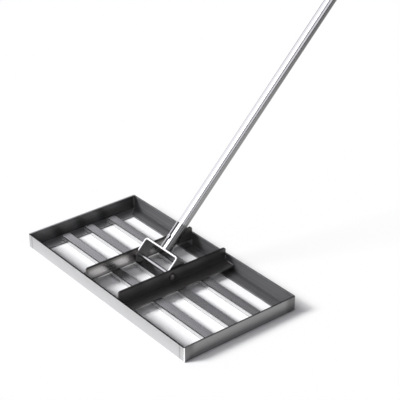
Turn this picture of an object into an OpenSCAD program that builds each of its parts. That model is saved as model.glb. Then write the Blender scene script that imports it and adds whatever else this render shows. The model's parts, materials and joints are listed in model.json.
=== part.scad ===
// Lawn leveling rake: a slotted tray of folded steel, a bridge across it, and a long tube
// handle on a yoke that swings on the bridge. Millimetres, +Z up.
// X runs along the tray, +Y points to the side that the handle leans to.
// The origin is the middle of the tray's underside, on the ground.

/* [Tray] */
// Length of the tray, end to end
tray_l = 480; // [420:1:560]
// Width of the tray, front to rear
tray_w = 250; // [224:1:300]
// Height of the tray's walls
wall_h = 30; // [22:0.5:38]
// Thickness of the folded sheet
sheet_t = 3; // [2:0.1:4]
// Inside radius of the folds in the sheet
fold_r = 1; // [0.5:0.1:2.5]
// Width of the bottom flange along the front and the rear
long_flange = 25; // [16:0.5:32]
// Width of the bottom flange across the two ends
end_flange = 30; // [26:0.5:40]
// Radius of the tray's upright corners
corner_r = 3; // [1:0.5:8]

/* [Slats] */
// Width of a slat tube
slat_w = 20; // [14:0.5:26]
// Height of a slat tube
slat_h = 10; // [8:0.5:15]
// Wall of a slat tube
slat_wall = 1.5; // [1:0.1:2]
// Inside radius of a slat tube's edges
slat_inner_r = 0.5; // [0.2:0.1:1]
// Distance between the middles of neighbouring slats
slat_pitch = 54; // [46:0.5:60]
// Length of a slat's end that lies on the end flange
slat_lap = 10.5; // [6:0.5:18]

/* [Bridge] */
// Clear gap between the two uprights
bridge_gap = 97; // [80:1:120]
// Height of an upright above the slats
bridge_h = 30; // [28:0.5:40]
// Width of the foot that lies on the slats
bridge_foot = 28; // [20:0.5:40]
// Radius of an upright's top corners
bridge_corner_r = 5; // [2:0.5:10]

/* [Yoke] */
// Width of the yoke's bent strip
strip_w = 25; // [20:0.5:30]
// Thickness of the yoke's bent strip
strip_t = 3; // [2:0.1:5]
// Inside radius of the yoke's bends
yoke_fold_r = 3; // [1:0.5:8]
// Gap between a yoke leg and the upright beside it
leg_gap = 1.2; // [1:0.1:8]
// Height of the yoke's back above the pivot, along the handle
yoke_reach = 34; // [28:0.5:50]
// Room between the round end of a yoke leg and the slats
leg_clear = 2.5; // [2:0.5:8]

/* [Pivot] */
// Place of the pivot along the tray's width, from its middle
pivot_y = -2.5; // [-10:0.5:10]
// Diameter of the pivot bolt
pivot_d = 8; // [6:0.5:10]
// Diameter of the pivot bolt's low round head
pivot_head_d = 14; // [12:0.5:18]
// Height of the pivot bolt's head
pivot_head_h = 4.4; // [3:0.1:6]
// Width of the key recess in the pivot bolt's head
pivot_key = 5; // [3:0.5:6]
// Width of the lock nut across its flats
pivot_flats = 13; // [12:0.5:17]
// Height of the lock nut's hexagon
lock_nut_h = 6; // [5:0.1:8]
// Height of the lock nut's collar
lock_collar_h = 2; // [1.5:0.1:3]
// Length of the pivot bolt beyond the lock nut
pivot_tip = 2; // [1:0.5:5]
// Diameter of the washers and spacers on the pivot
washer_d = 16; // [15:0.5:22]
// Thickness of a washer
washer_t = 1.6; // [1:0.1:2.5]

/* [Socket] */
// Length of the socket that holds the handle
socket_l = 55.5; // [45:0.5:90]
// Wall of the socket
socket_wall = 1.8; // [1.2:0.1:3]
// Width of the open seam along the rolled socket
socket_seam = 1.2; // [0.5:0.1:3]
// Radius of the socket's top rim
socket_rim_r = 0.6; // [0.2:0.1:1]
// Height of the cross bolt above the yoke's back
cross_bolt_h = 23; // [12:0.5:40]
// Diameter of the cross bolt
cross_bolt_d = 5; // [4:0.5:6]
// Diameter of the cross bolt's low round head
cross_head_d = 9.5; // [8.5:0.5:12]
// Height of the cross bolt's head
cross_head_h = 2.8; // [2:0.1:4]
// Width of the key recess in the cross bolt's head
cross_key = 3; // [2:0.5:4]
// Width of the cross bolt's nut across its flats
cross_flats = 8; // [7.5:0.5:11]
// Height of the cross bolt's nut
cross_nut_h = 4; // [3:0.1:6]
// Length of the cross bolt beyond its nut
cross_tip = 2; // [1:0.5:5]

/* [Handle] */
// Angle of the handle above the ground
handle_angle = 45; // [30:1:90]
// Outside diameter of the handle tubes
handle_d = 20; // [18:0.5:25]
// Wall of the handle tubes
handle_wall = 0.8; // [0.6:0.1:1.5]
// Length of the lower handle tube
lower_l = 760; // [500:5:900]
// Length of the upper handle tube
upper_l = 740; // [400:5:900]
// Length of each screw insert inside its tube
insert_l = 45; // [38:1:70]
// Diameter of the screw stud that joins the tubes
stud_d = 12; // [8:0.5:14]
// Length of the screw stud
stud_l = 32; // [20:1:36]
// Height of the collar between the tubes
joint_collar_h = 4; // [2:0.5:8]

/* [Grip] */
// Length of the grip
grip_l = 140; // [110:1:200]
// Outside diameter of the grip
grip_d = 28; // [27:0.5:36]
// Edge radius of the grip
grip_edge_r = 2; // [1:0.1:2.5]
// Number of grooves around the grip
grip_grooves = 9; // [3:1:12]
// Radius of a groove's section
groove_r = 1; // [0.5:0.1:1.5]
// Height of the end cap's domed head
cap_head_h = 7; // [5:0.5:12]
// Length of the end cap inside the tube
cap_plug_l = 22; // [12:1:40]

/* [Fits] */
// Radial clearance of the yoke legs on the pivot bolt
running_clear = 0.05; // [0.02:0.01:0.1]
// Radial clearance of bolts in plain holes
hole_clear = 0.2; // [0.1:0.05:0.5]
// Radial clearance between nested tubes and inserts
nest_clear = 0.1; // [0.05:0.05:0.3]
// Side play of the yoke between its spacers
side_play = 0.2; // [0.1:0.05:0.5]
// Radial clearance of nuts and rings on their bolts
thread_clear = 0.05; // [0.02:0.01:0.1]
// Gap between a flat bolt head and the round tube that it bears on
seat_gap = 0.05; // [0.02:0.01:0.1]

/* [Hidden] */
$fn = 64;

steel = "silver";
bright_steel = "gainsboro";
dark_steel = "dimgray";
zinc = "lightslategray";
nylon = "ivory";
black_rubber = "#222222";

// Shortest flange, up to which the tray's corners are cut at 45 degrees
mitre = min(long_flange, end_flange);
slat_l = tray_l - 2 * (end_flange - slat_lap);
slat_top = sheet_t + slat_h;
bridge_l = tray_w - 2 * sheet_t;
upright_face = bridge_gap / 2 + sheet_t;
pivot_z = slat_top + leg_clear + strip_w / 2;
yoke_w = bridge_gap - 2 * leg_gap;
pivot_hole_d = pivot_d + 2 * hole_clear;
pivot_seat = upright_face + washer_t;
pivot_end = pivot_seat + lock_nut_h + lock_collar_h + pivot_tip;
lock_ring_wall = 1.2;
collar_wall = 0.8;
socket_bore_r = handle_d / 2 + nest_clear;
socket_r = socket_bore_r + socket_wall;
cross_bolt_u = yoke_reach + cross_bolt_h;
cross_hole_d = cross_bolt_d + 2 * hole_clear;
cross_seat = socket_r + seat_gap;
tube_bore_r = handle_d / 2 - handle_wall;
insert_r = tube_bore_r - nest_clear;
joint_u = yoke_reach + lower_l;
upper_u = joint_u + joint_collar_h;
handle_top = upper_u + upper_l;
grip_bore_r = handle_d / 2 + nest_clear;
grip_u = handle_top - grip_l;
// Room left in a blind hole beyond the piece that goes in it
hole_spare = 2;
// Overlap that carries a cut past the faces it goes through
cut = 1;

// Rectangle with its heel, the corner at the origin, rounded.
module heel_square(size, r) {
    translate([r, 0]) square([size[0] - r, size[1]]);
    translate([0, r]) square([size[0], size[1] - r]);
    translate([r, r]) circle(r);
}

// Rectangle around the origin with four round corners.
module rounded_square(size, r) {
    square([size[0] - 2 * r, size[1]], center = true);
    square([size[0], size[1] - 2 * r], center = true);
    for (sx = [-1, 1], sy = [-1, 1])
        translate([sx * (size[0] / 2 - r), sy * (size[1] / 2 - r)])
            circle(r);
}

// Rectangle that stands on the X axis, with its two top corners rounded.
module top_rounded_square(w, h, r) {
    translate([-w / 2, 0]) square([w, h - r]);
    translate([r - w / 2, 0]) square([w - 2 * r, h]);
    for (s = [-1, 1])
        translate([s * (w / 2 - r), h - r])
            circle(r);
}

// Section of a folded angle: a flange along X and a wall along Y.
module angle_section(flange, wall) {
    difference() {
        heel_square([flange, wall], sheet_t + fold_r);
        translate([sheet_t, sheet_t])
            heel_square([flange, wall], fold_r);
    }
}

// Children drawn in the YZ plane, drawn out along X.
module along_x(length) {
    rotate([90, 0, 90])
        linear_extrude(length, center = true)
            children();
}

// Cylinder along X, around the origin.
module x_cylinder(d, length) {
    rotate([0, 90, 0])
        cylinder(d = d, h = length, center = true);
}

// Hexagon with its free top edges turned down, standing on the XY plane.
module hexagon(flats, h) {
    top_r = 0.48 * flats;
    intersection() {
        cylinder(d = flats / cos(30), h = h, $fn = 6);
        cylinder(r1 = top_r + h * tan(60), r2 = top_r, h = h);
    }
}

// Low domed bolt head on a short rim, with a hexagon recess for its key, standing on the XY plane.
module button_head(d, h, key) {
    dome_h = 0.75 * h;
    dome_r = (d * d / 4 + dome_h * dome_h) / (2 * dome_h);
    difference() {
        intersection() {
            cylinder(d = d, h = h + cut);
            translate([0, 0, h - dome_r])
                sphere(dome_r);
        }
        translate([0, 0, h / 2])
            cylinder(d = key / cos(30), h = h, $fn = 6);
    }
}

module ring(outer_r, inner_r, h) {
    difference() {
        cylinder(r = outer_r, h = h);
        translate([0, 0, -cut])
            cylinder(r = inner_r, h = h + 2 * cut);
    }
}

// The pivot's own place, at the origin.
module on_pivot() {
    translate([0, pivot_y, pivot_z])
        children();
}

// The handle's own frame: the pivot at the origin, +Z up along the handle.
module on_handle() {
    on_pivot()
        rotate([handle_angle - 90, 0, 0])
            children();
}

// One corner's mitre, from the tray's corner to the inner corner of its flanges.
function mitre_line(sx, sy) = [
    [sx * tray_l / 2, sy * tray_w / 2],
    [sx * (tray_l / 2 - mitre), sy * (tray_w / 2 - mitre)],
    [sx * (tray_l / 2 - end_flange), sy * (tray_w / 2 - long_flange)]
];
function backwards(list) = [for (i = [len(list) - 1:-1:0]) list[i]];

// Angle rail on the front side of a tray, cut to the plan that is given.
module mitred_rail(length, width, flange, plan) {
    intersection() {
        translate([0, -width / 2, 0])
            along_x(length)
                angle_section(flange, wall_h);
        linear_extrude(wall_h)
            intersection() {
                rounded_square([length, width], corner_r);
                polygon(plan);
            }
    }
}

module long_rail() {
    mitred_rail(tray_l, tray_w, long_flange, concat(mitre_line(-1, -1), backwards(mitre_line(1, -1))));
}

// The end rail is drawn on the front side and turned to the left end.
module end_rail() {
    turned = [for (p = concat(mitre_line(-1, 1), backwards(mitre_line(-1, -1)))) [-p[1], p[0]]];
    rotate([0, 0, -90])
        mitred_rail(tray_w, tray_l, end_flange, turned);
}

module front_rail() {
    color(steel) long_rail();
}

module rear_rail() {
    color(steel) rotate([0, 0, 180]) long_rail();
}

module left_end_rail() {
    color(steel) end_rail();
}

module right_end_rail() {
    color(steel) rotate([0, 0, 180]) end_rail();
}

// Rectangular tube across the tray, its ends lying on the end flanges.
module slat(place) {
    color(steel)
        translate([0, place * slat_pitch, sheet_t + slat_h / 2])
            along_x(slat_l)
                difference() {
                    rounded_square([slat_w, slat_h], slat_wall + slat_inner_r);
                    rounded_square([slat_w - 2 * slat_wall, slat_h - 2 * slat_wall], slat_inner_r);
                }
}

module front_slat() {
    slat(-1);
}

module middle_slat() {
    slat(0);
}

module rear_slat() {
    slat(1);
}

// Folded angle that stands on the slats from wall to wall and carries one end of the pivot.
module bridge_angle() {
    color(dark_steel)
        difference() {
            translate([0, 0, slat_top])
                intersection() {
                    translate([bridge_gap / 2, 0, 0])
                        rotate([90, 0, 0])
                            linear_extrude(bridge_l, center = true)
                                angle_section(bridge_foot, bridge_h);
                    translate([bridge_gap / 2, 0, 0])
                        along_x(2 * bridge_foot + cut)
                            top_rounded_square(bridge_l, bridge_h, bridge_corner_r);
                }
            on_pivot()
                translate([bridge_gap / 2, 0, 0])
                    x_cylinder(pivot_hole_d, 3 * sheet_t);
        }
}

module right_bridge_angle() {
    bridge_angle();
}

module left_bridge_angle() {
    mirror([1, 0, 0]) bridge_angle();
}

// Round-headed bolt through both uprights and both yoke legs, its head on the right.
module pivot_bolt() {
    color(zinc)
        on_pivot() {
            rotate([0, 90, 0])
                translate([0, 0, pivot_seat])
                    button_head(pivot_head_d, pivot_head_h, pivot_key);
            translate([(pivot_seat - pivot_end) / 2, 0, 0])
                x_cylinder(pivot_d, pivot_seat + pivot_end);
        }
}

// Flat washers under the bolt head and under the lock nut.
module pivot_washers() {
    color(zinc)
        on_pivot()
            for (side = [0, 1])
                mirror([side, 0, 0])
                    translate([upright_face, 0, 0])
                        rotate([0, 90, 0])
                            ring(washer_d / 2, pivot_hole_d / 2, washer_t);
}

// Nylon spacers that keep the yoke legs off the uprights.
module pivot_spacers() {
    color(nylon)
        on_pivot()
            for (side = [0, 1])
                mirror([side, 0, 0])
                    translate([bridge_gap / 2 - leg_gap + side_play, 0, 0])
                        rotate([0, 90, 0])
                            ring(washer_d / 2, pivot_hole_d / 2, leg_gap - side_play);
}

// Hexagon nut with a thin collar that holds the locking ring.
module pivot_lock_nut() {
    collar_r = pivot_d / 2 + lock_ring_wall + collar_wall;
    color(zinc)
        on_pivot()
            translate([-pivot_seat, 0, 0])
                rotate([0, -90, 0])
                    difference() {
                        union() {
                            hexagon(pivot_flats, lock_nut_h);
                            cylinder(r = collar_r, h = lock_nut_h + lock_collar_h);
                        }
                        translate([0, 0, -cut])
                            cylinder(r = pivot_d / 2 + thread_clear, h = lock_nut_h + 2 * cut);
                        translate([0, 0, lock_nut_h])
                            cylinder(r = pivot_d / 2 + lock_ring_wall, h = lock_collar_h + cut);
                    }
}

// Nylon ring in the lock nut's collar.
module lock_nut_ring() {
    color(nylon)
        on_pivot()
            translate([-pivot_seat - lock_nut_h, 0, 0])
                rotate([0, -90, 0])
                    ring(pivot_d / 2 + lock_ring_wall - thread_clear, pivot_d / 2 + thread_clear, lock_collar_h);
}

// Outline of the bent strip, seen across the handle.
module yoke_bend(w, top, r) {
    translate([0, -strip_w])
        top_rounded_square(w, top + strip_w, r);
}

// Strip bent to a square U: two legs with round ends on the pivot, and a back for the socket.
module yoke_bracket() {
    color(bright_steel)
        on_handle()
            difference() {
                intersection() {
                    rotate([90, 0, 0])
                        linear_extrude(strip_w, center = true)
                            difference() {
                                yoke_bend(yoke_w, yoke_reach, yoke_fold_r + strip_t);
                                translate([0, -cut])
                                    yoke_bend(yoke_w - 2 * strip_t, yoke_reach - strip_t + cut, yoke_fold_r);
                            }
                    along_x(yoke_w + 2 * cut)
                        union() {
                            circle(strip_w / 2);
                            translate([-strip_w / 2, 0]) square([strip_w, yoke_reach + cut]);
                        }
                }
                x_cylinder(pivot_d + 2 * running_clear, yoke_w + 2 * cut);
            }
}

// Rolled stub on the yoke's back that takes the handle, with an open seam and a softened top rim.
module handle_socket() {
    color(bright_steel)
        on_handle()
            difference() {
                translate([0, 0, yoke_reach])
                    rotate_extrude()
                        translate([socket_bore_r, 0])
                            union() {
                                square([socket_wall, socket_l - socket_rim_r]);
                                square([socket_wall - socket_rim_r, socket_l]);
                                translate([socket_wall - socket_rim_r, socket_l - socket_rim_r])
                                    circle(socket_rim_r);
                            }
                translate([-socket_seam / 2, -socket_r - cut, yoke_reach - cut])
                    cube([socket_seam, socket_r + cut, socket_l + 2 * cut]);
                cross_hole();
            }
}

// Hole for the cross bolt through the socket and the handle.
module cross_hole() {
    translate([0, 0, cross_bolt_u])
        rotate([90, 0, 0])
            cylinder(d = cross_hole_d, h = 4 * socket_r, center = true);
}

// Round-headed bolt through socket and handle, its head on the seam, on the upper side of the handle.
module cross_bolt() {
    shank_l = 2 * cross_seat + cross_nut_h + cross_tip;
    color(zinc)
        on_handle()
            translate([0, 0, cross_bolt_u])
                rotate([90, 0, 0]) {
                    translate([0, 0, cross_seat])
                        button_head(cross_head_d, cross_head_h, cross_key);
                    translate([0, 0, cross_seat - shank_l])
                        cylinder(d = cross_bolt_d, h = shank_l + cross_head_h / 4);
                }
}

module cross_bolt_nut() {
    color(zinc)
        on_handle()
            translate([0, cross_seat, cross_bolt_u])
                rotate([-90, 0, 0])
                    difference() {
                        hexagon(cross_flats, cross_nut_h);
                        translate([0, 0, -cut])
                            cylinder(d = cross_bolt_d + 2 * thread_clear, h = cross_nut_h + 2 * cut);
                    }
}

// Lower tube: it stands on the yoke's back inside the socket.
module handle_lower_tube() {
    color(bright_steel)
        on_handle()
            difference() {
                translate([0, 0, yoke_reach])
                    ring(handle_d / 2, tube_bore_r, lower_l);
                cross_hole();
            }
}

// Plug in the top of the lower tube, bored for the screw stud.
module joint_socket_insert() {
    bore_depth = stud_l + hole_spare;
    color(dark_steel)
        on_handle()
            difference() {
                translate([0, 0, joint_u - insert_l])
                    cylinder(r = insert_r, h = insert_l);
                translate([0, 0, joint_u - bore_depth])
                    cylinder(d = stud_d + 2 * nest_clear, h = bore_depth + cut);
            }
}

// Plug in the foot of the upper tube, with the collar and the screw stud that enter the lower tube.
module joint_stud_insert() {
    color(dark_steel)
        on_handle() {
            translate([0, 0, joint_u - stud_l])
                cylinder(d = stud_d, h = stud_l + joint_collar_h);
            translate([0, 0, joint_u])
                cylinder(d = handle_d, h = joint_collar_h);
            translate([0, 0, joint_u])
                cylinder(r = insert_r, h = joint_collar_h + insert_l);
        }
}

module handle_upper_tube() {
    color(bright_steel)
        on_handle()
            translate([0, 0, upper_u])
                ring(handle_d / 2, tube_bore_r, upper_l);
}

// Rubber sleeve on the top of the handle, with round edges and grooves.
module handle_grip() {
    wall = grip_d / 2 - grip_bore_r;
    groove_pitch = grip_l / (grip_grooves + 1);
    color(black_rubber)
        on_handle()
            translate([0, 0, grip_u])
                rotate_extrude()
                    difference() {
                        translate([grip_bore_r, 0])
                            union() {
                                square([wall - grip_edge_r, grip_l]);
                                translate([0, grip_edge_r]) square([wall, grip_l - 2 * grip_edge_r]);
                                for (v = [grip_edge_r, grip_l - grip_edge_r])
                                    translate([wall - grip_edge_r, v])
                                        circle(grip_edge_r);
                            }
                        for (i = [1:grip_grooves])
                            translate([grip_d / 2, i * groove_pitch])
                                circle(groove_r);
                    }
}

// Plug with a domed head that closes the top of the tube and covers the grip's end.
module grip_end_cap() {
    head_r = grip_d / 2 - grip_edge_r;
    dome_r = (head_r * head_r + cap_head_h * cap_head_h) / (2 * cap_head_h);
    color(black_rubber)
        on_handle()
            translate([0, 0, handle_top]) {
                translate([0, 0, -cap_plug_l])
                    cylinder(r = insert_r, h = cap_plug_l + cut);
                intersection() {
                    cylinder(r = 2 * head_r, h = cap_head_h + cut);
                    translate([0, 0, cap_head_h - dome_r])
                        sphere(dome_r);
                }
            }
}

front_rail();
rear_rail();
left_end_rail();
right_end_rail();
front_slat();
middle_slat();
rear_slat();
left_bridge_angle();
right_bridge_angle();
pivot_bolt();
pivot_washers();
pivot_spacers();
pivot_lock_nut();
lock_nut_ring();
yoke_bracket();
handle_socket();
cross_bolt();
cross_bolt_nut();
handle_lower_tube();
joint_socket_insert();
joint_stud_insert();
handle_upper_tube();
handle_grip();
grip_end_cap();
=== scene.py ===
"""Looks of a lawn leveling rake: polished steel tray and handle on a plain pale floor."""
import json
import math
from typing import Callable, NamedTuple, Optional

import bpy
from mathutils import Matrix, Vector


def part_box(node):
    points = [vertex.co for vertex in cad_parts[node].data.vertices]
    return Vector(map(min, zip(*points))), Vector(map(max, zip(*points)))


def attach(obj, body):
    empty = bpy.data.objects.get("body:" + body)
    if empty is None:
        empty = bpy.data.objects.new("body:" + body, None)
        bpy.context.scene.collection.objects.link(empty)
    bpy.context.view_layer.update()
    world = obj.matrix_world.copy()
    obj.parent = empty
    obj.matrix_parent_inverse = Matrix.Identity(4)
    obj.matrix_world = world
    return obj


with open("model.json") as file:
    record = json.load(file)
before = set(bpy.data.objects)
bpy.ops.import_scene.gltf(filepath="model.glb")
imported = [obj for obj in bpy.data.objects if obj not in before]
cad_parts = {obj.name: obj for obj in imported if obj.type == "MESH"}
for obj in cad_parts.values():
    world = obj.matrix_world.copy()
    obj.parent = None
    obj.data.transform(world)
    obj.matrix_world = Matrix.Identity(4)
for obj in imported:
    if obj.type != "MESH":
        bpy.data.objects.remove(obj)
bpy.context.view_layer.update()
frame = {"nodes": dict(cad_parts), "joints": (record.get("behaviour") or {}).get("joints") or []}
NODES = frame["nodes"]

# Camera, fitted to the tray's edges in a square picture whose middle lies on the lens's axis.
CAMERA_AT = Vector((1.55684, -1.15308, 1.22659))
CAMERA_RIGHT = Vector((0.62772, 0.77844, 0.0))
CAMERA_UP = Vector((-0.37482, 0.30225, 0.87646))
CAMERA_BACK = Vector((0.68227, -0.55016, 0.48150))
CAMERA_FAR = 50.0
FOCAL_PX = 1240.3
PICTURE_PX = 400
SENSOR_MM = 36.0

# Sizes and places of the solids, in metres.
SHEET = 0.003
PIVOT = Vector(frame["joints"][0]["pos_m"])
HANDLE_TILT = math.radians(45)
HANDLE_AXIS = Vector((0.0, math.cos(HANDLE_TILT), math.sin(HANDLE_TILT)))
SOCKET_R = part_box("handle_socket")[1][0]
SOCKET_END = max(v.co.dot(HANDLE_AXIS) for v in NODES["handle_socket"].data.vertices)
YOKE_REACH = max((v.co - PIVOT).dot(HANDLE_AXIS) for v in NODES["yoke_bracket"].data.vertices)
TRAY_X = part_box("right_end_rail")[1][0]
TRAY_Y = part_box("rear_rail")[1][1]
WALL_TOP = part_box("rear_rail")[1][2]
INNER_X = TRAY_X - SHEET
INNER_Y = TRAY_Y - SHEET
FLANGE_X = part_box("right_end_rail")[0][0]
UPRIGHT_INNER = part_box("right_bridge_angle")[0][0]
UPRIGHT_OUTER = UPRIGHT_INNER + SHEET
UPRIGHT_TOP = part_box("right_bridge_angle")[1][2]
FOOT_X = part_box("right_bridge_angle")[1][0]
FOOT_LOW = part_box("right_bridge_angle")[0][2]
FOOT_TOP = FOOT_LOW + SHEET

# Ways that faces look: up, square to the handle on its upper side, and out from sides of the tubes, for
# their painted shade.
UP = Vector((0, 0, 1))
OVER_HANDLE = Vector((0, -1, 1))
TUBE_RIGHT = Vector((0.94, 0.24, -0.24))
TUBE_RIGHT_EDGE = Vector((0.752, 0.466, -0.466))
TUBE_LEFT_EDGE = Vector((-0.731, -0.483, 0.483))

# Grain of the steel: its waves per metre along and across, those of its clouds, how many times coarser
# its smears are, its depth in metres and its strength.
GRAIN_LONG = 3
GRAIN_FINE = 420
CLOUD_WAVES = 14
SMEAR_COARSE = 12
GRAIN_DEPTH = 0.0004
GRAIN_STRENGTH = 0.03

# Polish that handling left on edges: its reach in metres, its level, the share of the roughness that it
# leaves, and its own share where it is weakest.
WEAR_REACH = 0.0012
WEAR_LEVEL = 0.72
WEAR_ROUGH = 0.8
WEAR_LEAST = 0.3
WEAR_SAMPLES = 6

# Moulded rubber and plastic: waves per metre of the clouds, depth of the texture in metres, and how far
# the shade and the roughness vary.
MOULD_CLOUD_WAVES = 25
MOULD_DEPTH = 0.0003
MOULD_SHADES = 0.25
MOULD_GLOSS = 0.08

# Middle of a noise's range, over which the roughness varies.
NOISE_LOW = 0.3
NOISE_HIGH = 0.7

# Ground corner welds: their distance from a rail's end and half their width, in metres.
GROUND_INSET = 0.011
GROUND_WIDTH = 0.003

# Reach of the painted shade at a rail's ends, and of the painted shade bands and the painted dark rim along
# the top of an upright, in metres.
CORNER_SHADE_REACH = 0.026
SHADE_BAND_REACH = 0.012
TOP_SHADE_REACH = 0.003

# Painted shade at an upright's ends, widest at the rear: its reach and how far its edge wanders, in metres,
# and waves of that per metre.
END_SHADE_REACH = 0.05
END_SHADE_WANDER = 0.003
END_SHADE_WAVES = 90.0

# Rubbed disc round the pivot: its radius in metres, and how many times wider it is where it has faded.
RUB_R = 0.021
RUB_FADE = 1.4

# Painted cast shadow inside the rear rail: X and top of the pieces that cast it, its reach at their tops in
# metres, and how much the reach grows per metre below them.
SHADOW_FROM = ((-INNER_X, WALL_TOP), (-UPRIGHT_INNER, UPRIGHT_TOP), (UPRIGHT_OUTER, UPRIGHT_TOP))
SHADOW_NEAR = 0.008
SHADOW_SLANT = 0.75

# Where the painted shade on the tubes' edges starts and is full, in metres along the handle.
TUBE_EDGE_START = 0.2
TUBE_EDGE_FULL = 0.6

# Length of a step that is only there to be soft, in metres.
SOFT_STEP = 0.001

# Broken edges of the sheet and of the yoke's strip, in metres, and the least angle that counts as an edge.
SHEET_BEVEL = 0.0005
STRIP_BEVEL = 0.0011
BEVEL_DEGREES = 40
BEVEL_SEGMENTS = 2

# Weld beads: radius and distance between ripples in metres, then height of the ripples and radius of the
# tips as shares of the radius.
BEAD_R = 0.0014
BEAD_RIPPLE = 0.0016
BEAD_WAVE = 0.12
BEAD_TIP = 0.15
BEAD_SIDES = 10
BEAD_STEPS_PER_RIPPLE = 5
BEAD_LEAST_STEPS = 6
SOCKET_WELD_HALF_DEGREES = 52
SOCKET_WELD_STEPS = 72

# Floor: half its side in metres, its paint, the share of white that it turns to beside the tray, and over
# what distance in metres.
FLOOR_HALF = 40.0
FLOOR_PAINT = 0.97
FLOOR_WHITE = 0.85
SHADOW_FADE = 0.05

# Sun lamp, and the even light that matt surfaces get from the room.
SUN_FROM = Vector((-0.376, -0.7235, 0.579)).normalized()
SUN_AWAY = 4.0
SUN_LEVEL = 3.9
SUN_DEGREES = 19
FILL_LEVEL = 0.22


class Area(NamedTuple):
    """A round part of the room that metal mirrors, soft between two half angles in degrees."""
    way: tuple
    outer: float
    inner: float
    level: float


# The room that metal mirrors: its own level and tint, and its areas, named by where they lie.
ROOM_LEVEL = 0.1
ROOM_TINT = (0.975, 0.97, 1.03, 1.0)
FRONT_LEFT = Area(way=(-0.588, -0.572, 0.572), outer=68, inner=48, level=1.25)
FRONT_RIGHT = Area(way=(0.70, -0.65, 0.30), outer=55, inner=20, level=0.35)
BACK_LEFT = Area(way=(-0.70, 0.55, 0.50), outer=45, inner=15, level=0.04)
BACK_RIGHT = Area(way=(0.68, 0.60, 0.42), outer=58, inner=32, level=0.15)
HIGH_FRONT = Area(way=(0.10, -0.70, 0.70), outer=24, inner=12, level=3.2)
RIGHT = Area(way=(0.86, -0.05, 0.50), outer=26, inner=6, level=1.4)

# The area at the front left has this share of its level at the horizon, and all of it this high above.
HORIZON_SHARE = 0.4
HORIZON_RISE = 0.12


# Node graphs

class Graph:
    """A node tree with short calls for the nodes that the materials use."""

    def __init__(self, tree):
        self.nodes = tree.nodes
        self.links = tree.links
        self.nodes.clear()

    def add(self, kind, settings=None, **inputs):
        """Adds a node, with its settings by name and its inputs as constants or links."""
        node = self.nodes.new(kind)
        for key, value in (settings or {}).items():
            setattr(node, key, value)
        for key, value in inputs.items():
            self.put(node, key.replace("_", " "), value)
        return node

    def put(self, node, socket, value):
        """Sets a socket by name or number, to a constant or to another node's output."""
        target = node.inputs[socket]
        if isinstance(value, bpy.types.NodeSocket):
            self.links.new(value, target)
        else:
            target.default_value = value

    def surface(self, shader, kind="ShaderNodeOutputMaterial"):
        """Ends the tree with a shader."""
        self.put(self.add(kind), "Surface", shader.outputs[0])

    def math(self, operation, a, b=0.0):
        """One operation on two numbers, or on the first alone."""
        node = self.add("ShaderNodeMath", {"operation": operation})
        self.put(node, 0, a)
        self.put(node, 1, b)
        return node.outputs[0]

    def weighted(self, a, a_share, b, b_share):
        """Sum of two values, each times its share."""
        return self.math("ADD", self.math("MULTIPLY", a, a_share), self.math("MULTIPLY", b, b_share))

    def dot(self, a, direction):
        """Dot product with a direction, which is brought to length one."""
        node = self.add("ShaderNodeVectorMath", {"operation": "DOT_PRODUCT"})
        self.put(node, 0, a)
        self.put(node, 1, tuple(Vector(direction).normalized()))
        return node.outputs["Value"]

    def ramp(self, value, low, high, out_low=0.0, out_high=1.0):
        """Smooth step from one output to another between two values."""
        node = self.add("ShaderNodeMapRange", {"interpolation_type": "SMOOTHSTEP"})
        for socket, setting in (("Value", value), ("From Min", low), ("From Max", high),
                                ("To Min", out_low), ("To Max", out_high)):
            self.put(node, socket, setting)
        return node.outputs["Result"]

    def mix_colour(self, factor, a, b):
        """Mix of two colours."""
        node = self.add("ShaderNodeMix", {"data_type": "RGBA"})
        self.put(node, 0, factor)
        self.put(node, 6, a)
        self.put(node, 7, b)
        return node.outputs[2]

    def blend(self, factor, a, b):
        """Mix of two numbers."""
        node = self.add("ShaderNodeMix", {"data_type": "FLOAT"})
        self.put(node, 0, factor)
        self.put(node, 2, a)
        self.put(node, 3, b)
        return node.outputs[0]

    def noise(self, vector, scale=1.0, detail=3.0, rough=0.5):
        """A number that wanders smoothly with the place."""
        node = self.add("ShaderNodeTexNoise", Scale=scale, Detail=detail, Roughness=rough)
        self.put(node, "Vector", vector)
        return node.outputs["Fac"]

    def object_place(self):
        """The place on the object, in the object's own frame."""
        return self.add("ShaderNodeTexCoord").outputs["Object"]

    def object_normal(self):
        """The way that the face looks, in the object's own frame."""
        return self.add("ShaderNodeTexCoord").outputs["Normal"]

    def coordinate(self, axis):
        """One coordinate of the place on the object."""
        return self.add("ShaderNodeSeparateXYZ", Vector=self.object_place()).outputs[axis]

    def edge(self, reach):
        """Mask of the convex edges of a piece, from how near the far side of the metal is."""
        settings = {"inside": True, "only_local": True, "samples": WEAR_SAMPLES}
        depth = self.add("ShaderNodeAmbientOcclusion", settings, Distance=reach)
        return self.ramp(depth.outputs["AO"], 0.45, 0.85, out_low=1.0, out_high=0.0)

    def stretched(self, scale, tilt=0.0):
        """Object coordinates turned about X and scaled, to draw a grain out along one axis."""
        turned = self.add("ShaderNodeMapping", Vector=self.object_place(), Rotation=(tilt, 0.0, 0.0))
        scaled = self.add("ShaderNodeMapping", Vector=turned.outputs[0], Scale=scale)
        return scaled.outputs[0]


# Materials

class Overlay(NamedTuple):
    """A layer on part of a steel surface: a real finish, painted shade or a painted highlight; warm is the
    surface's own where none is given.
    """
    mask: Callable
    level: float
    rough: float
    warm: Optional[float] = None


def material(name):
    """A new material and the graph of its emptied node tree."""
    made = bpy.data.materials.new(name)
    made.use_nodes = True
    return made, Graph(made.node_tree)


def grey(level, warm=0.0):
    """A grey, with a little more red and less blue where it is warm."""
    return (level * (1 + warm), level, level * (1 - warm), 1.0)


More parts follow.
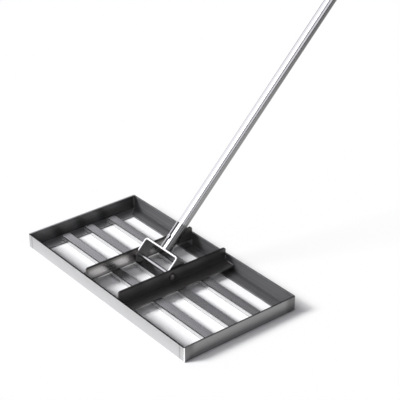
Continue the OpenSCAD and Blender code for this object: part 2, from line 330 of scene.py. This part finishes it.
def steel(name, level, rough, grain="X", tilt=0.0, spread=0.07, warm=0.0, overlays=(), wear=True):
    """Steel with a fine grain along one axis and cloudy gloss.

    The overlays, which are real finishes and painted shade and highlights, lie over each other in their
    order. Worn steel has edges that handling has polished.
    """
    made, g = material(name)
    waves = tuple(GRAIN_LONG if axis == grain else GRAIN_FINE for axis in "XYZ")
    coarse_waves = tuple(wave / SMEAR_COARSE for wave in waves)
    fine = g.noise(g.stretched(waves, tilt), detail=4.0, rough=0.6)
    cloud = g.noise(g.stretched((CLOUD_WAVES,) * 3, tilt), detail=3.0, rough=0.55)
    smear = g.noise(g.stretched(coarse_waves, tilt), detail=2.0, rough=0.5)
    shade = g.weighted(fine, 0.5, cloud, 0.5)
    streaks = g.ramp(g.weighted(smear, 0.6, fine, 0.4), 0.35, 0.65)
    colour = g.mix_colour(shade, grey(level * (1 - spread), warm), grey(level * (1 + spread), warm))
    roughness = g.math("ADD", g.ramp(smear, NOISE_LOW, NOISE_HIGH, -0.25 * rough, 0.25 * rough),
                       g.ramp(fine, NOISE_LOW, NOISE_HIGH, 0.85 * rough, 1.15 * rough))
    for overlay in overlays:
        where = overlay.mask(g)
        tint = warm if overlay.warm is None else overlay.warm
        dark = grey(overlay.level * (1 - 2 * spread), tint)
        light = grey(overlay.level * (1 + 2 * spread), tint)
        colour = g.mix_colour(where, colour, g.mix_colour(streaks, dark, light))
        roughness = g.blend(where, roughness, overlay.rough)
    if wear:
        rim = g.math("MULTIPLY", g.edge(WEAR_REACH), g.ramp(cloud, 0.35, 0.6, out_low=WEAR_LEAST))
        colour = g.mix_colour(rim, colour, grey(WEAR_LEVEL, warm))
        smoother = g.ramp(rim, 0.0, 1.0, out_low=1.0, out_high=WEAR_ROUGH)
        roughness = g.math("MULTIPLY", roughness, smoother)
    bump = g.add("ShaderNodeBump", Strength=GRAIN_STRENGTH, Distance=GRAIN_DEPTH, Height=fine)
    shader = g.add("ShaderNodeBsdfPrincipled", Metallic=1.0, Base_Color=colour, Roughness=roughness,
                   Normal=bump.outputs[0])
    g.surface(shader)
    return made


def moulded(name, colour, rough, speck, bump_strength):
    """Rubber or plastic: fine moulded texture and a little uneven gloss."""
    made, g = material(name)
    grain = g.noise(g.stretched((speck,) * 3), detail=3.0, rough=0.6)
    cloud = g.noise(g.stretched((MOULD_CLOUD_WAVES,) * 3), detail=3.0, rough=0.5)
    dark = tuple((1 - MOULD_SHADES) * part for part in colour) + (1.0,)
    light = tuple((1 + MOULD_SHADES) * part for part in colour) + (1.0,)
    shade = g.mix_colour(cloud, dark, light)
    roughness = g.ramp(cloud, NOISE_LOW, NOISE_HIGH, rough - MOULD_GLOSS, rough + MOULD_GLOSS)
    bump = g.add("ShaderNodeBump", Strength=bump_strength, Distance=MOULD_DEPTH, Height=grain)
    shader = g.add("ShaderNodeBsdfPrincipled", Base_Color=shade, Roughness=roughness,
                   Normal=bump.outputs[0])
    g.surface(shader)
    return made


# Masks, which take a graph and give a number from 0 to 1, and functions that make a mask

def facing(direction, start=0.35, full=0.75):
    """Mask of the faces that look a given way, by the cosine of the angle to it."""
    def mask(g):
        return g.ramp(g.dot(g.object_normal(), direction), start, full)
    return mask


def shaded_fold_of(opens):
    """Mask of the inner radius of a folded angle, between the wall and the flange, where painted shade
    darkens the crease.
    """
    return facing(Vector(opens) + UP, start=0.8, full=0.95)


def corner_weld(axis, end):
    """Mask of the weld that is ground flush across a rail, just inside each end."""
    def mask(g):
        place = g.math("ABSOLUTE", g.coordinate(axis))
        away = g.math("ABSOLUTE", g.math("SUBTRACT", place, end - GROUND_INSET))
        return g.ramp(away, 0.3 * GROUND_WIDTH, GROUND_WIDTH, out_low=0.6, out_high=0.0)
    return mask


def painted_corner_shade(axis, end):
    """Mask of the last stretch of a rail at each end, which gets painted shade."""
    def mask(g):
        place = g.math("ABSOLUTE", g.coordinate(axis))
        return g.ramp(place, end - CORNER_SHADE_REACH, end - CORNER_SHADE_REACH / 2)
    return mask


def painted_end_shade(axis, end):
    """Mask of painted shade at a piece's ends, which reaches much further at the rear end than at the front
    end.
    """
    def mask(g):
        place = g.coordinate(axis)
        wander = g.math("MULTIPLY", g.noise(g.object_place(), scale=END_SHADE_WAVES), END_SHADE_WANDER)
        to_rear = g.math("ADD", wander, place)
        to_front = g.math("SUBTRACT", wander, place)
        rear = g.ramp(to_rear, end - END_SHADE_REACH, end - END_SHADE_REACH / 2, out_high=0.95)
        front = g.ramp(to_front, end - END_SHADE_REACH / 10, end + END_SHADE_REACH / 10, out_high=0.8)
        return g.math("MAXIMUM", rear, front)
    return mask


def rubbed(opens):
    """Mask of the dull disc round the pivot, on the side of an upright where the yoke swings."""
    def mask(g):
        along = g.math("SUBTRACT", g.coordinate("Y"), PIVOT.y)
        up = g.math("SUBTRACT", g.coordinate("Z"), PIVOT.z)
        square = g.math("ADD", g.math("MULTIPLY", along, along), g.math("MULTIPLY", up, up))
        disc = g.ramp(square, RUB_R ** 2, (RUB_FADE * RUB_R) ** 2, out_low=1.0, out_high=0.0)
        return g.math("MULTIPLY", disc, facing(-Vector(opens))(g))
    return mask


def painted_shade_bands(opens):
    """Mask of the painted shade along the top and foot of an upright's inner face."""
    def mask(g):
        up = g.coordinate("Z")
        upper = g.ramp(up, UPRIGHT_TOP - SHADE_BAND_REACH, UPRIGHT_TOP - SHADE_BAND_REACH / 6, out_high=0.9)
        lower = g.ramp(up, FOOT_LOW + SHADE_BAND_REACH / 3, FOOT_LOW + SHADE_BAND_REACH, out_low=0.8, out_high=0.0)
        return g.math("MULTIPLY", g.math("MAXIMUM", upper, lower), facing(-Vector(opens))(g))
    return mask


def painted_top_shade(g):
    """Mask of the painted dark shade along the top of an upright's faces."""
    return g.ramp(g.coordinate("Z"), UPRIGHT_TOP - TOP_SHADE_REACH, UPRIGHT_TOP - TOP_SHADE_REACH / 3, out_high=0.9)


def painted_shadow(g):
    """Mask of the painted cast shadow inside the rear rail, to the right of each piece welded to it."""
    along = g.coordinate("X")
    up = g.coordinate("Z")
    shadow = 0.0
    for weld_x, top in SHADOW_FROM:
        away = g.math("SUBTRACT", along, weld_x)
        below = g.math("MULTIPLY", g.math("SUBTRACT", top, up), SHADOW_SLANT)
        share = g.math("DIVIDE", away, g.math("ADD", below, SHADOW_NEAR))
        fading = g.ramp(share, 0.6, 1.3, out_low=1.0, out_high=0.0)
        here = g.math("MULTIPLY", fading, g.ramp(away, 0.0, SOFT_STEP))
        shadow = g.math("MAXIMUM", shadow, here)
    return g.math("MULTIPLY", shadow, facing((0, -1, 1), start=0.35, full=0.6)(g))


def strip_faces(g):
    """Mask of the yoke's sheet faces, without its cut edges across the handle."""
    across = g.math("ABSOLUTE", g.dot(g.object_normal(), OVER_HANDLE))
    return g.ramp(across, 0.86, 0.95, out_low=1.0, out_high=0.0)


def strip_corners(g):
    """Mask of the rounded corners along the yoke's cut edges, which get painted shade."""
    across = g.math("ABSOLUTE", g.dot(g.object_normal(), OVER_HANDLE))
    return g.math("MULTIPLY", strip_faces(g), g.ramp(across, 0.3, 0.5))


def painted_side_shade(start, full, widen=0.0):
    """Mask of the painted shade on the right-hand and lower side of the handle's tubes and bolts, which may
    widen up the handle.
    """
    def mask(g):
        turn = g.dot(g.object_normal(), TUBE_RIGHT)
        up = g.math("MULTIPLY", g.dot(g.object_place(), HANDLE_AXIS), widen)
        return g.ramp(g.math("ADD", turn, up), start, full)
    return mask


def painted_edge_shade(direction, start, full):
    """Mask of the painted shade along one edge of the tubes, which grows up the handle."""
    def mask(g):
        up = g.ramp(g.dot(g.object_place(), HANDLE_AXIS), TUBE_EDGE_START, TUBE_EDGE_FULL)
        return g.math("MULTIPLY", up, facing(direction, start, full)(g))
    return mask


def inside_socket(g):
    """Mask of the stretch of tube that sits in the socket, which shows only through the seam and is painted
    near black as shade.
    """
    along = g.dot(g.object_place(), HANDLE_AXIS)
    return g.ramp(along, SOCKET_END - SOFT_STEP, SOCKET_END, out_low=1.0, out_high=0.0)


def outside_uprights(g):
    """Mask of what stands outside the two uprights."""
    return g.ramp(g.math("ABSOLUTE", g.coordinate("X")), UPRIGHT_INNER, UPRIGHT_OUTER)


# Finishes of the solids, and the painted shade and highlights on them

SLAT = steel("slat_steel", level=0.8, rough=0.2, wear=False, overlays=[
    Overlay(facing(UP), level=0.78, rough=0.24),
    # Painted shade: a dark line along the slats' top front edge.
    Overlay(facing((0, -0.6, 1), start=0.89, full=0.96), level=0.02, rough=0.3),
    # Painted shadow: a dark line along the slats' lower front edge, where they stand above the floor.
    Overlay(facing((0, -1, -0.7), start=0.84, full=0.885), level=0.02, rough=0.3),
    # Painted shade on the slats' rear top edge.
    Overlay(facing((0, 1, 1), start=0.8, full=0.95), level=0.5, rough=0.24),
])
YOKE = steel("yoke_steel", level=0.95, rough=0.16, warm=0.015, overlays=[
    Overlay(strip_faces, level=0.25, rough=0.46),
    # Painted shade on the rounded corners, which narrows the bright line of the cut edges.
    Overlay(strip_corners, level=0.03, rough=0.4),
])
TUBE = steel("tube_steel", level=0.64, rough=0.18, grain="Z", tilt=HANDLE_TILT, wear=False, overlays=[
    # Painted shade on the right-hand and lower side of the tube, widening up the handle.
    Overlay(painted_side_shade(start=0.46, full=0.64, widen=0.85), level=0.43, rough=0.2),
    # Painted shade along the tubes' right edge, and up the handle along both edges.
    Overlay(facing(TUBE_RIGHT_EDGE, start=0.4, full=0.75), level=0.25, rough=0.2),
    Overlay(painted_edge_shade(TUBE_RIGHT_EDGE, start=0.3, full=0.7), level=0.15, rough=0.2),
    Overlay(painted_edge_shade(TUBE_LEFT_EDGE, start=0.88, full=0.94), level=0.2, rough=0.2),
    # Painted shade: the tube in the socket is near black where it shows through the seam.
    Overlay(inside_socket, level=0.02, rough=0.4),
])
SOCKET = steel("socket_steel", level=0.55, rough=0.16, grain="Z", tilt=HANDLE_TILT, overlays=[
    # Painted shade on the right-hand and lower side of the socket.
    Overlay(painted_side_shade(start=0.27, full=0.37), level=0.18, rough=0.18),
    # Painted shade on the lips of the socket's seam.
    Overlay(facing(OVER_HANDLE, start=0.978, full=0.986), level=0.01, rough=0.5),
])
PIVOT_STEEL = steel("pivot_steel", level=0.5, rough=0.15, wear=False, overlays=[
    # Painted shade on the lower front side of the pivot rod.
    Overlay(facing((0, -1, -0.5), start=0.45, full=0.75), level=0.08, rough=0.3),
    Overlay(outside_uprights, level=0.13, rough=0.4, warm=0.05),
])
ZINC = steel("zinc_plate", level=0.85, rough=0.2, wear=False, overlays=[
    # Painted shade on the right-hand half of the cross bolt's head and nut.
    Overlay(painted_side_shade(start=-0.15, full=0.1), level=0.01, rough=0.5),
])
INSERT = steel("turned_aluminium", level=0.72, rough=0.3)
WELD = steel("weld_steel", level=0.14, rough=0.42, spread=0.25, warm=0.03, wear=False)
NYLON = moulded("nylon", (0.72, 0.70, 0.64), rough=0.45, speck=900, bump_strength=0.05)
RUBBER = moulded("grip_rubber", (0.028, 0.028, 0.03), rough=0.62, speck=1400, bump_strength=0.25)
CAP = moulded("cap_plastic", (0.03, 0.03, 0.032), rough=0.45, speck=900, bump_strength=0.12)


class Angle(NamedTuple):
    """A folded angle: its grain, the way it opens, and the levels of its outside, inner wall and flange,
    which hold painted shade.
    """
    grain: str
    opens: tuple
    outside: float
    wall: float
    flange: float


# The inner walls are a duller mill finish; beyond that, the levels of the same steel differ from piece to
# piece and face to face as painted shade: darker end rails, uprights and inner walls, and low flange levels
# that also darken the top edges.
RAILS = {
    "front_rail": Angle("X", (0, 1, 0), outside=0.57, wall=0.24, flange=0.03),
    "rear_rail": Angle("X", (0, -1, 0), outside=0.55, wall=0.28, flange=0.33),
    "left_end_rail": Angle("Y", (1, 0, 0), outside=0.28, wall=0.15, flange=0.5),
    "right_end_rail": Angle("Y", (-1, 0, 0), outside=0.25, wall=0.12, flange=0.08),
}
# Levels of the uprights, which also hold painted shade.
BRIDGE_ANGLES = {
    "left_bridge_angle": Angle("Y", (-1, 0, 0), outside=0.47, wall=0.15, flange=0.04),
    "right_bridge_angle": Angle("Y", (1, 0, 0), outside=0.36, wall=0.14, flange=0.22),
}
# The rail that gets painted shade at its ends.
CORNER_SHADED_RAIL = "right_end_rail"
# The rail that gets a painted cast shadow inside.
SHADOWED_RAIL = "rear_rail"
# Rails that get a painted highlight on the front right corner.
HIGHLIGHT_CORNER_RAILS = ("front_rail", "right_end_rail")
WORN_RAILS = ("left_end_rail", "rear_rail")


def folded(angle, wall_rough):
    """Overlays of an angle's flange and inner wall, and the painted shade in its fold."""
    return [
        Overlay(facing(UP), level=angle.flange, rough=0.36),
        Overlay(facing(angle.opens), level=angle.wall, rough=wall_rough),
        # Painted shade in the crease of the fold.
        Overlay(shaded_fold_of(angle.opens), level=0.5 * angle.wall, rough=0.4),
    ]


def end_of(name, axis):
    """How far a node reaches along an axis."""
    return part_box(name)[1]["XYZ".index(axis)]


def rail_steel(name, angle):
    """Steel of a rail of the tray, with ground welds near its ends."""
    end = end_of(name, angle.grain)
    overlays = [Overlay(corner_weld(angle.grain, end), level=0.6 * angle.outside, rough=0.25)]
    if name == CORNER_SHADED_RAIL:
        # Painted shade at the rail's ends.
        overlays.append(Overlay(painted_corner_shade(angle.grain, end), level=0.55 * angle.outside, rough=0.2))
    overlays += folded(angle, wall_rough=0.75 if name == SHADOWED_RAIL else 0.45)
    if name in HIGHLIGHT_CORNER_RAILS:
        # Painted highlight on the front right corner.
        overlays.append(Overlay(facing((1, -1, 0), start=0.85, full=0.97), level=0.95, rough=0.12))
    if name == SHADOWED_RAIL:
        # Painted cast shadow of the end wall and uprights inside the rear rail.
        overlays.append(Overlay(painted_shadow, level=0.09, rough=0.6))
    return steel(name + "_steel", angle.outside, rough=0.13, grain=angle.grain, spread=0.1,
                 overlays=overlays, wear=name in WORN_RAILS)


def bridge_steel(name, angle):
    """Steel of a bridge angle, with painted shade at its ends, along its top and foot and on its top rim,
    and rubbed round the pivot.
    """
    end_shade = painted_end_shade(angle.grain, end_of(name, angle.grain))
    # Painted shade at the ends, widest at the rear end.
    overlays = [Overlay(end_shade, level=0.075, rough=0.85, warm=0.04)]
    overlays += folded(angle, wall_rough=0.45)
    overlays += [
        # Painted shade along the top and foot of the inner face.
        Overlay(painted_shade_bands(angle.opens), level=0.35 * angle.outside, rough=0.35, warm=0.04),
        Overlay(rubbed(angle.opens), level=0.45 * angle.outside, rough=0.4, warm=0.04),
        # Painted dark shade along the top of the upright.
        Overlay(painted_top_shade, level=0.05, rough=0.4),
    ]
    return steel(name + "_steel", angle.outside, rough=0.2, grain=angle.grain, spread=0.1, warm=0.02,
                 overlays=overlays, wear=False)


def dress(made, *names):
    """Gives nodes a material in place of their own."""
    for name in names:
        slots = NODES[name].data.materials
        slots.clear()
        slots.append(made)


for name, angle in RAILS.items():
    dress(rail_steel(name, angle), name)
for name, angle in BRIDGE_ANGLES.items():
    dress(bridge_steel(name, angle), name)
SLATS = ("front_slat", "middle_slat", "rear_slat")
dress(SLAT, *SLATS)
dress(YOKE, "yoke_bracket")
dress(SOCKET, "handle_socket")
dress(TUBE, "handle_lower_tube", "handle_upper_tube")
dress(PIVOT_STEEL, "pivot_bolt", "pivot_washers", "pivot_lock_nut")
dress(ZINC, "cross_bolt", "cross_bolt_nut")
dress(INSERT, "joint_socket_insert", "joint_stud_insert")
dress(NYLON, "pivot_spacers", "lock_nut_ring")
dress(RUBBER, "handle_grip")
dress(CAP, "grip_end_cap")


# Soft edges

def soften(width, *names):
    """Breaks the sharp edges of sheet and strip, as deburring does."""
    for name in names:
        bevel = NODES[name].modifiers.new("soft_edges", "BEVEL")
        bevel.width = width
        bevel.segments = BEVEL_SEGMENTS
        bevel.limit_method = "ANGLE"
        bevel.angle_limit = math.radians(BEVEL_DEGREES)
        bevel.harden_normals = True


soften(SHEET_BEVEL, *RAILS, *BRIDGE_ANGLES)
soften(STRIP_BEVEL, "yoke_bracket")


# Weld beads

def new_object(name, vertices, faces, made):
    """A mesh object with one material, in the scene."""
    mesh = bpy.data.meshes.new(name)
    mesh.from_pydata(vertices, [], faces)
    mesh.materials.append(made)
    thing = bpy.data.objects.new(name, mesh)
    bpy.context.collection.objects.link(thing)
    return thing


def weld_bead(points, ups):
    """Vertices and faces of a rounded bead with ripples along a row of points; ups lie across it."""
    run = [0.0]
    for a, b in zip(points, points[1:]):
        run.append(run[-1] + (b - a).length)
    turns = [2 * math.pi * k / BEAD_SIDES for k in range(BEAD_SIDES)]
    vertices = []
    for i, (at, up) in enumerate(zip(points, ups)):
        ahead = (points[min(i + 1, len(points) - 1)] - points[max(i - 1, 0)]).normalized()
        side = ahead.cross(up).normalized()
        over = ahead.cross(side)
        end = min(run[i], run[-1] - run[i]) / BEAD_R
        swell = math.sqrt(1 - (1 - end) ** 2) if end < 1 else 1.0
        ripple = 1 + BEAD_WAVE * math.cos(2 * math.pi * run[i] / BEAD_RIPPLE)
        r = BEAD_R * max(swell, BEAD_TIP) * ripple
        vertices += [at + r * (math.cos(t) * side + math.sin(t) * over) for t in turns]
    faces = []
    for start in range(0, len(vertices) - BEAD_SIDES, BEAD_SIDES):
        for k in range(BEAD_SIDES):
            beside = (k + 1) % BEAD_SIDES
            faces.append((start + k, start + beside, start + BEAD_SIDES + beside, start + BEAD_SIDES + k))
    last = len(vertices) - BEAD_SIDES
    faces.append(tuple(reversed(range(BEAD_SIDES))))
    faces.append(tuple(last + k for k in range(BEAD_SIDES)))
    return vertices, faces


def straight(start, end, up):
    """A straight bead from one place to another."""
    start = Vector(start)
    end = Vector(end)
    step = BEAD_RIPPLE / BEAD_STEPS_PER_RIPPLE
    steps = max(BEAD_LEAST_STEPS, round((end - start).length / step))
    points = [start.lerp(end, i / steps) for i in range(steps + 1)]
    return weld_bead(points, [Vector(up)] * len(points))


def round_socket(middle):
    """A bead round one side of the socket's base, about an angle in degrees."""
    over = OVER_HANDLE.normalized()
    foot = PIVOT + HANDLE_AXIS * YOKE_REACH
    first = middle - SOCKET_WELD_HALF_DEGREES
    step = 2 * SOCKET_WELD_HALF_DEGREES / SOCKET_WELD_STEPS
    turns = [math.radians(first + i * step) for i in range(SOCKET_WELD_STEPS + 1)]
    outward = [math.cos(t) * Vector((1, 0, 0)) + math.sin(t) * over for t in turns]
    return weld_bead([foot + SOCKET_R * way for way in outward], [HANDLE_AXIS] * len(outward))


def corner_beads(sx, sy):
    """Beads at one quarter of the tray: its corner, and an upright's end and foot on the long wall."""
    y = sy * INNER_Y
    corner_x = sx * INNER_X
    upright_x = sx * UPRIGHT_OUTER
    foot_start = sx * (UPRIGHT_OUTER + 2 * SHEET)
    foot_end = sx * (FOOT_X - SHEET)
    return [
        straight((corner_x, y, 2 * SHEET), (corner_x, y, WALL_TOP - SHEET), (-sx, -sy, 0)),
        straight((upright_x, y, FOOT_TOP + SHEET), (upright_x, y, WALL_TOP - SHEET), (sx, -sy, 0)),
        straight((foot_start, y, FOOT_TOP), (foot_end, y, FOOT_TOP), (0, -sy, 1)),
    ]


def slat_beads(sx, slat):
    """Beads along both sides of one end of a slat, on the end rail's flange."""
    low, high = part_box(slat)
    start = sx * (FLANGE_X + SHEET / 2)
    end = sx * (high[0] - SHEET / 2)
    return [straight((start, y, low[2]), (end, y, low[2]), (0, way, 1))
            for y, way in ((low[1], -1), (high[1], 1))]


def weld(name, body, beads):
    """One piece made of several beads, which rides on a body."""
    vertices = []
    faces = []
    for points, sides in beads:
        faces += [tuple(len(vertices) + k for k in side) for side in sides]
        vertices += points
    piece = new_object(name, vertices, faces, WELD)
    piece.data.polygons.foreach_set("use_smooth", [True] * len(faces))
    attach(piece, body)


tray_beads = []
for sx in (-1, 1):
    for sy in (-1, 1):
        tray_beads += corner_beads(sx, sy)
    for slat in SLATS:
        tray_beads += slat_beads(sx, slat)
weld("socket_weld", "handle", [round_socket(0), round_socket(180)])
weld("tray_welds", "head", tray_beads)


# Floor, world, lamp and camera

def make_floor():
    """A pale floor that keeps the shadow, and turns white beside the tray for camera and mirror rays."""
    made, g = material("floor_white")
    paint = g.add("ShaderNodeBsdfDiffuse", Color=grey(FLOOR_PAINT))
    white = g.add("ShaderNodeEmission", Color=grey(1.0), Strength=1.0)
    beside_x = g.math("SUBTRACT", g.math("ABSOLUTE", g.coordinate("X")), TRAY_X)
    beside_y = g.math("SUBTRACT", g.math("ABSOLUTE", g.coordinate("Y")), TRAY_Y)
    away = g.ramp(g.math("MAXIMUM", beside_x, beside_y), 0.0, SHADOW_FADE, out_high=FLOOR_WHITE)
    path = g.add("ShaderNodeLightPath").outputs
    seen = g.math("MAXIMUM", path["Is Camera Ray"], path["Is Glossy Ray"])
    shader = g.add("ShaderNodeMixShader")
    g.put(shader, 0, g.math("MULTIPLY", seen, away))
    g.put(shader, 1, paint.outputs[0])
    g.put(shader, 2, white.outputs[0])
    g.surface(shader)
    corners = [(x * FLOOR_HALF, y * FLOOR_HALF, 0) for x, y in ((-1, -1), (1, -1), (1, 1), (-1, 1))]
    floor = new_object("floor", corners, [(0, 1, 2, 3)], made)


def make_world():
    """A dim room with soft areas for metal, even light for matt surfaces and white for the camera.

    The area at the back right dims what is there, and the others add light.
    """
    world = bpy.data.worlds.new("studio")
    bpy.context.scene.world = world
    world.use_nodes = True
    g = Graph(world.node_tree)
    way = g.add("ShaderNodeTexCoord").outputs["Generated"]

    def lit(area, elsewhere=0.0):
        """Level of an area by the angle from its middle, and another level outside it."""
        edges = [math.cos(math.radians(angle)) for angle in (area.outer, area.inner)]
        return g.ramp(g.dot(way, area.way), *edges, out_low=elsewhere, out_high=area.level)

    up = g.add("ShaderNodeSeparateXYZ", Vector=way).outputs["Z"]
    largest = g.math("MULTIPLY", lit(FRONT_LEFT), g.ramp(up, 0.0, HORIZON_RISE, out_low=HORIZON_SHARE))
    level = ROOM_LEVEL
    for part in (largest, lit(FRONT_RIGHT), lit(BACK_LEFT)):
        level = g.math("ADD", level, part)
    level = g.math("MULTIPLY", level, lit(BACK_RIGHT, elsewhere=1.0))
    for part in (lit(HIGH_FRONT), lit(RIGHT)):
        level = g.math("ADD", level, part)
    path = g.add("ShaderNodeLightPath").outputs
    level = g.blend(path["Is Diffuse Ray"], level, FILL_LEVEL)
    background = g.add("ShaderNodeBackground")
    g.put(background, "Color", g.mix_colour(path["Is Camera Ray"], ROOM_TINT, grey(1.0)))
    g.put(background, "Strength", g.blend(path["Is Camera Ray"], level, 1.0))
    g.surface(background, "ShaderNodeOutputWorld")


def stand(thing, at, right, up, back):
    """Puts a lamp or camera into the scene, with its own axes along three ways."""
    bpy.context.collection.objects.link(thing)
    turn = Matrix((right, up, back)).transposed().to_4x4()
    thing.matrix_world = Matrix.Translation(at) @ turn


def make_lamp():
    """One soft sun from the front left, which metal doesn't mirror."""
    data = bpy.data.lights.new("side_light", "SUN")
    data.energy = SUN_LEVEL
    data.angle = math.radians(SUN_DEGREES)
    lamp = bpy.data.objects.new("side_light", data)
    lamp.visible_glossy = False
    right = UP.cross(SUN_FROM).normalized()
    stand(lamp, SUN_FROM * SUN_AWAY, right, SUN_FROM.cross(right), SUN_FROM)


def make_camera():
    """The camera at the photograph's viewing angle."""
    data = bpy.data.cameras.new("camera")
    data.sensor_width = SENSOR_MM
    data.lens = FOCAL_PX * SENSOR_MM / PICTURE_PX
    data.clip_end = CAMERA_FAR
    camera = bpy.data.objects.new("camera", data)
    stand(camera, CAMERA_AT, CAMERA_RIGHT, CAMERA_UP, CAMERA_BACK)
    bpy.context.scene.camera = camera


make_floor()
make_world()
make_lamp()
make_camera()

scene = bpy.context.scene
scene.view_settings.view_transform = "Standard"
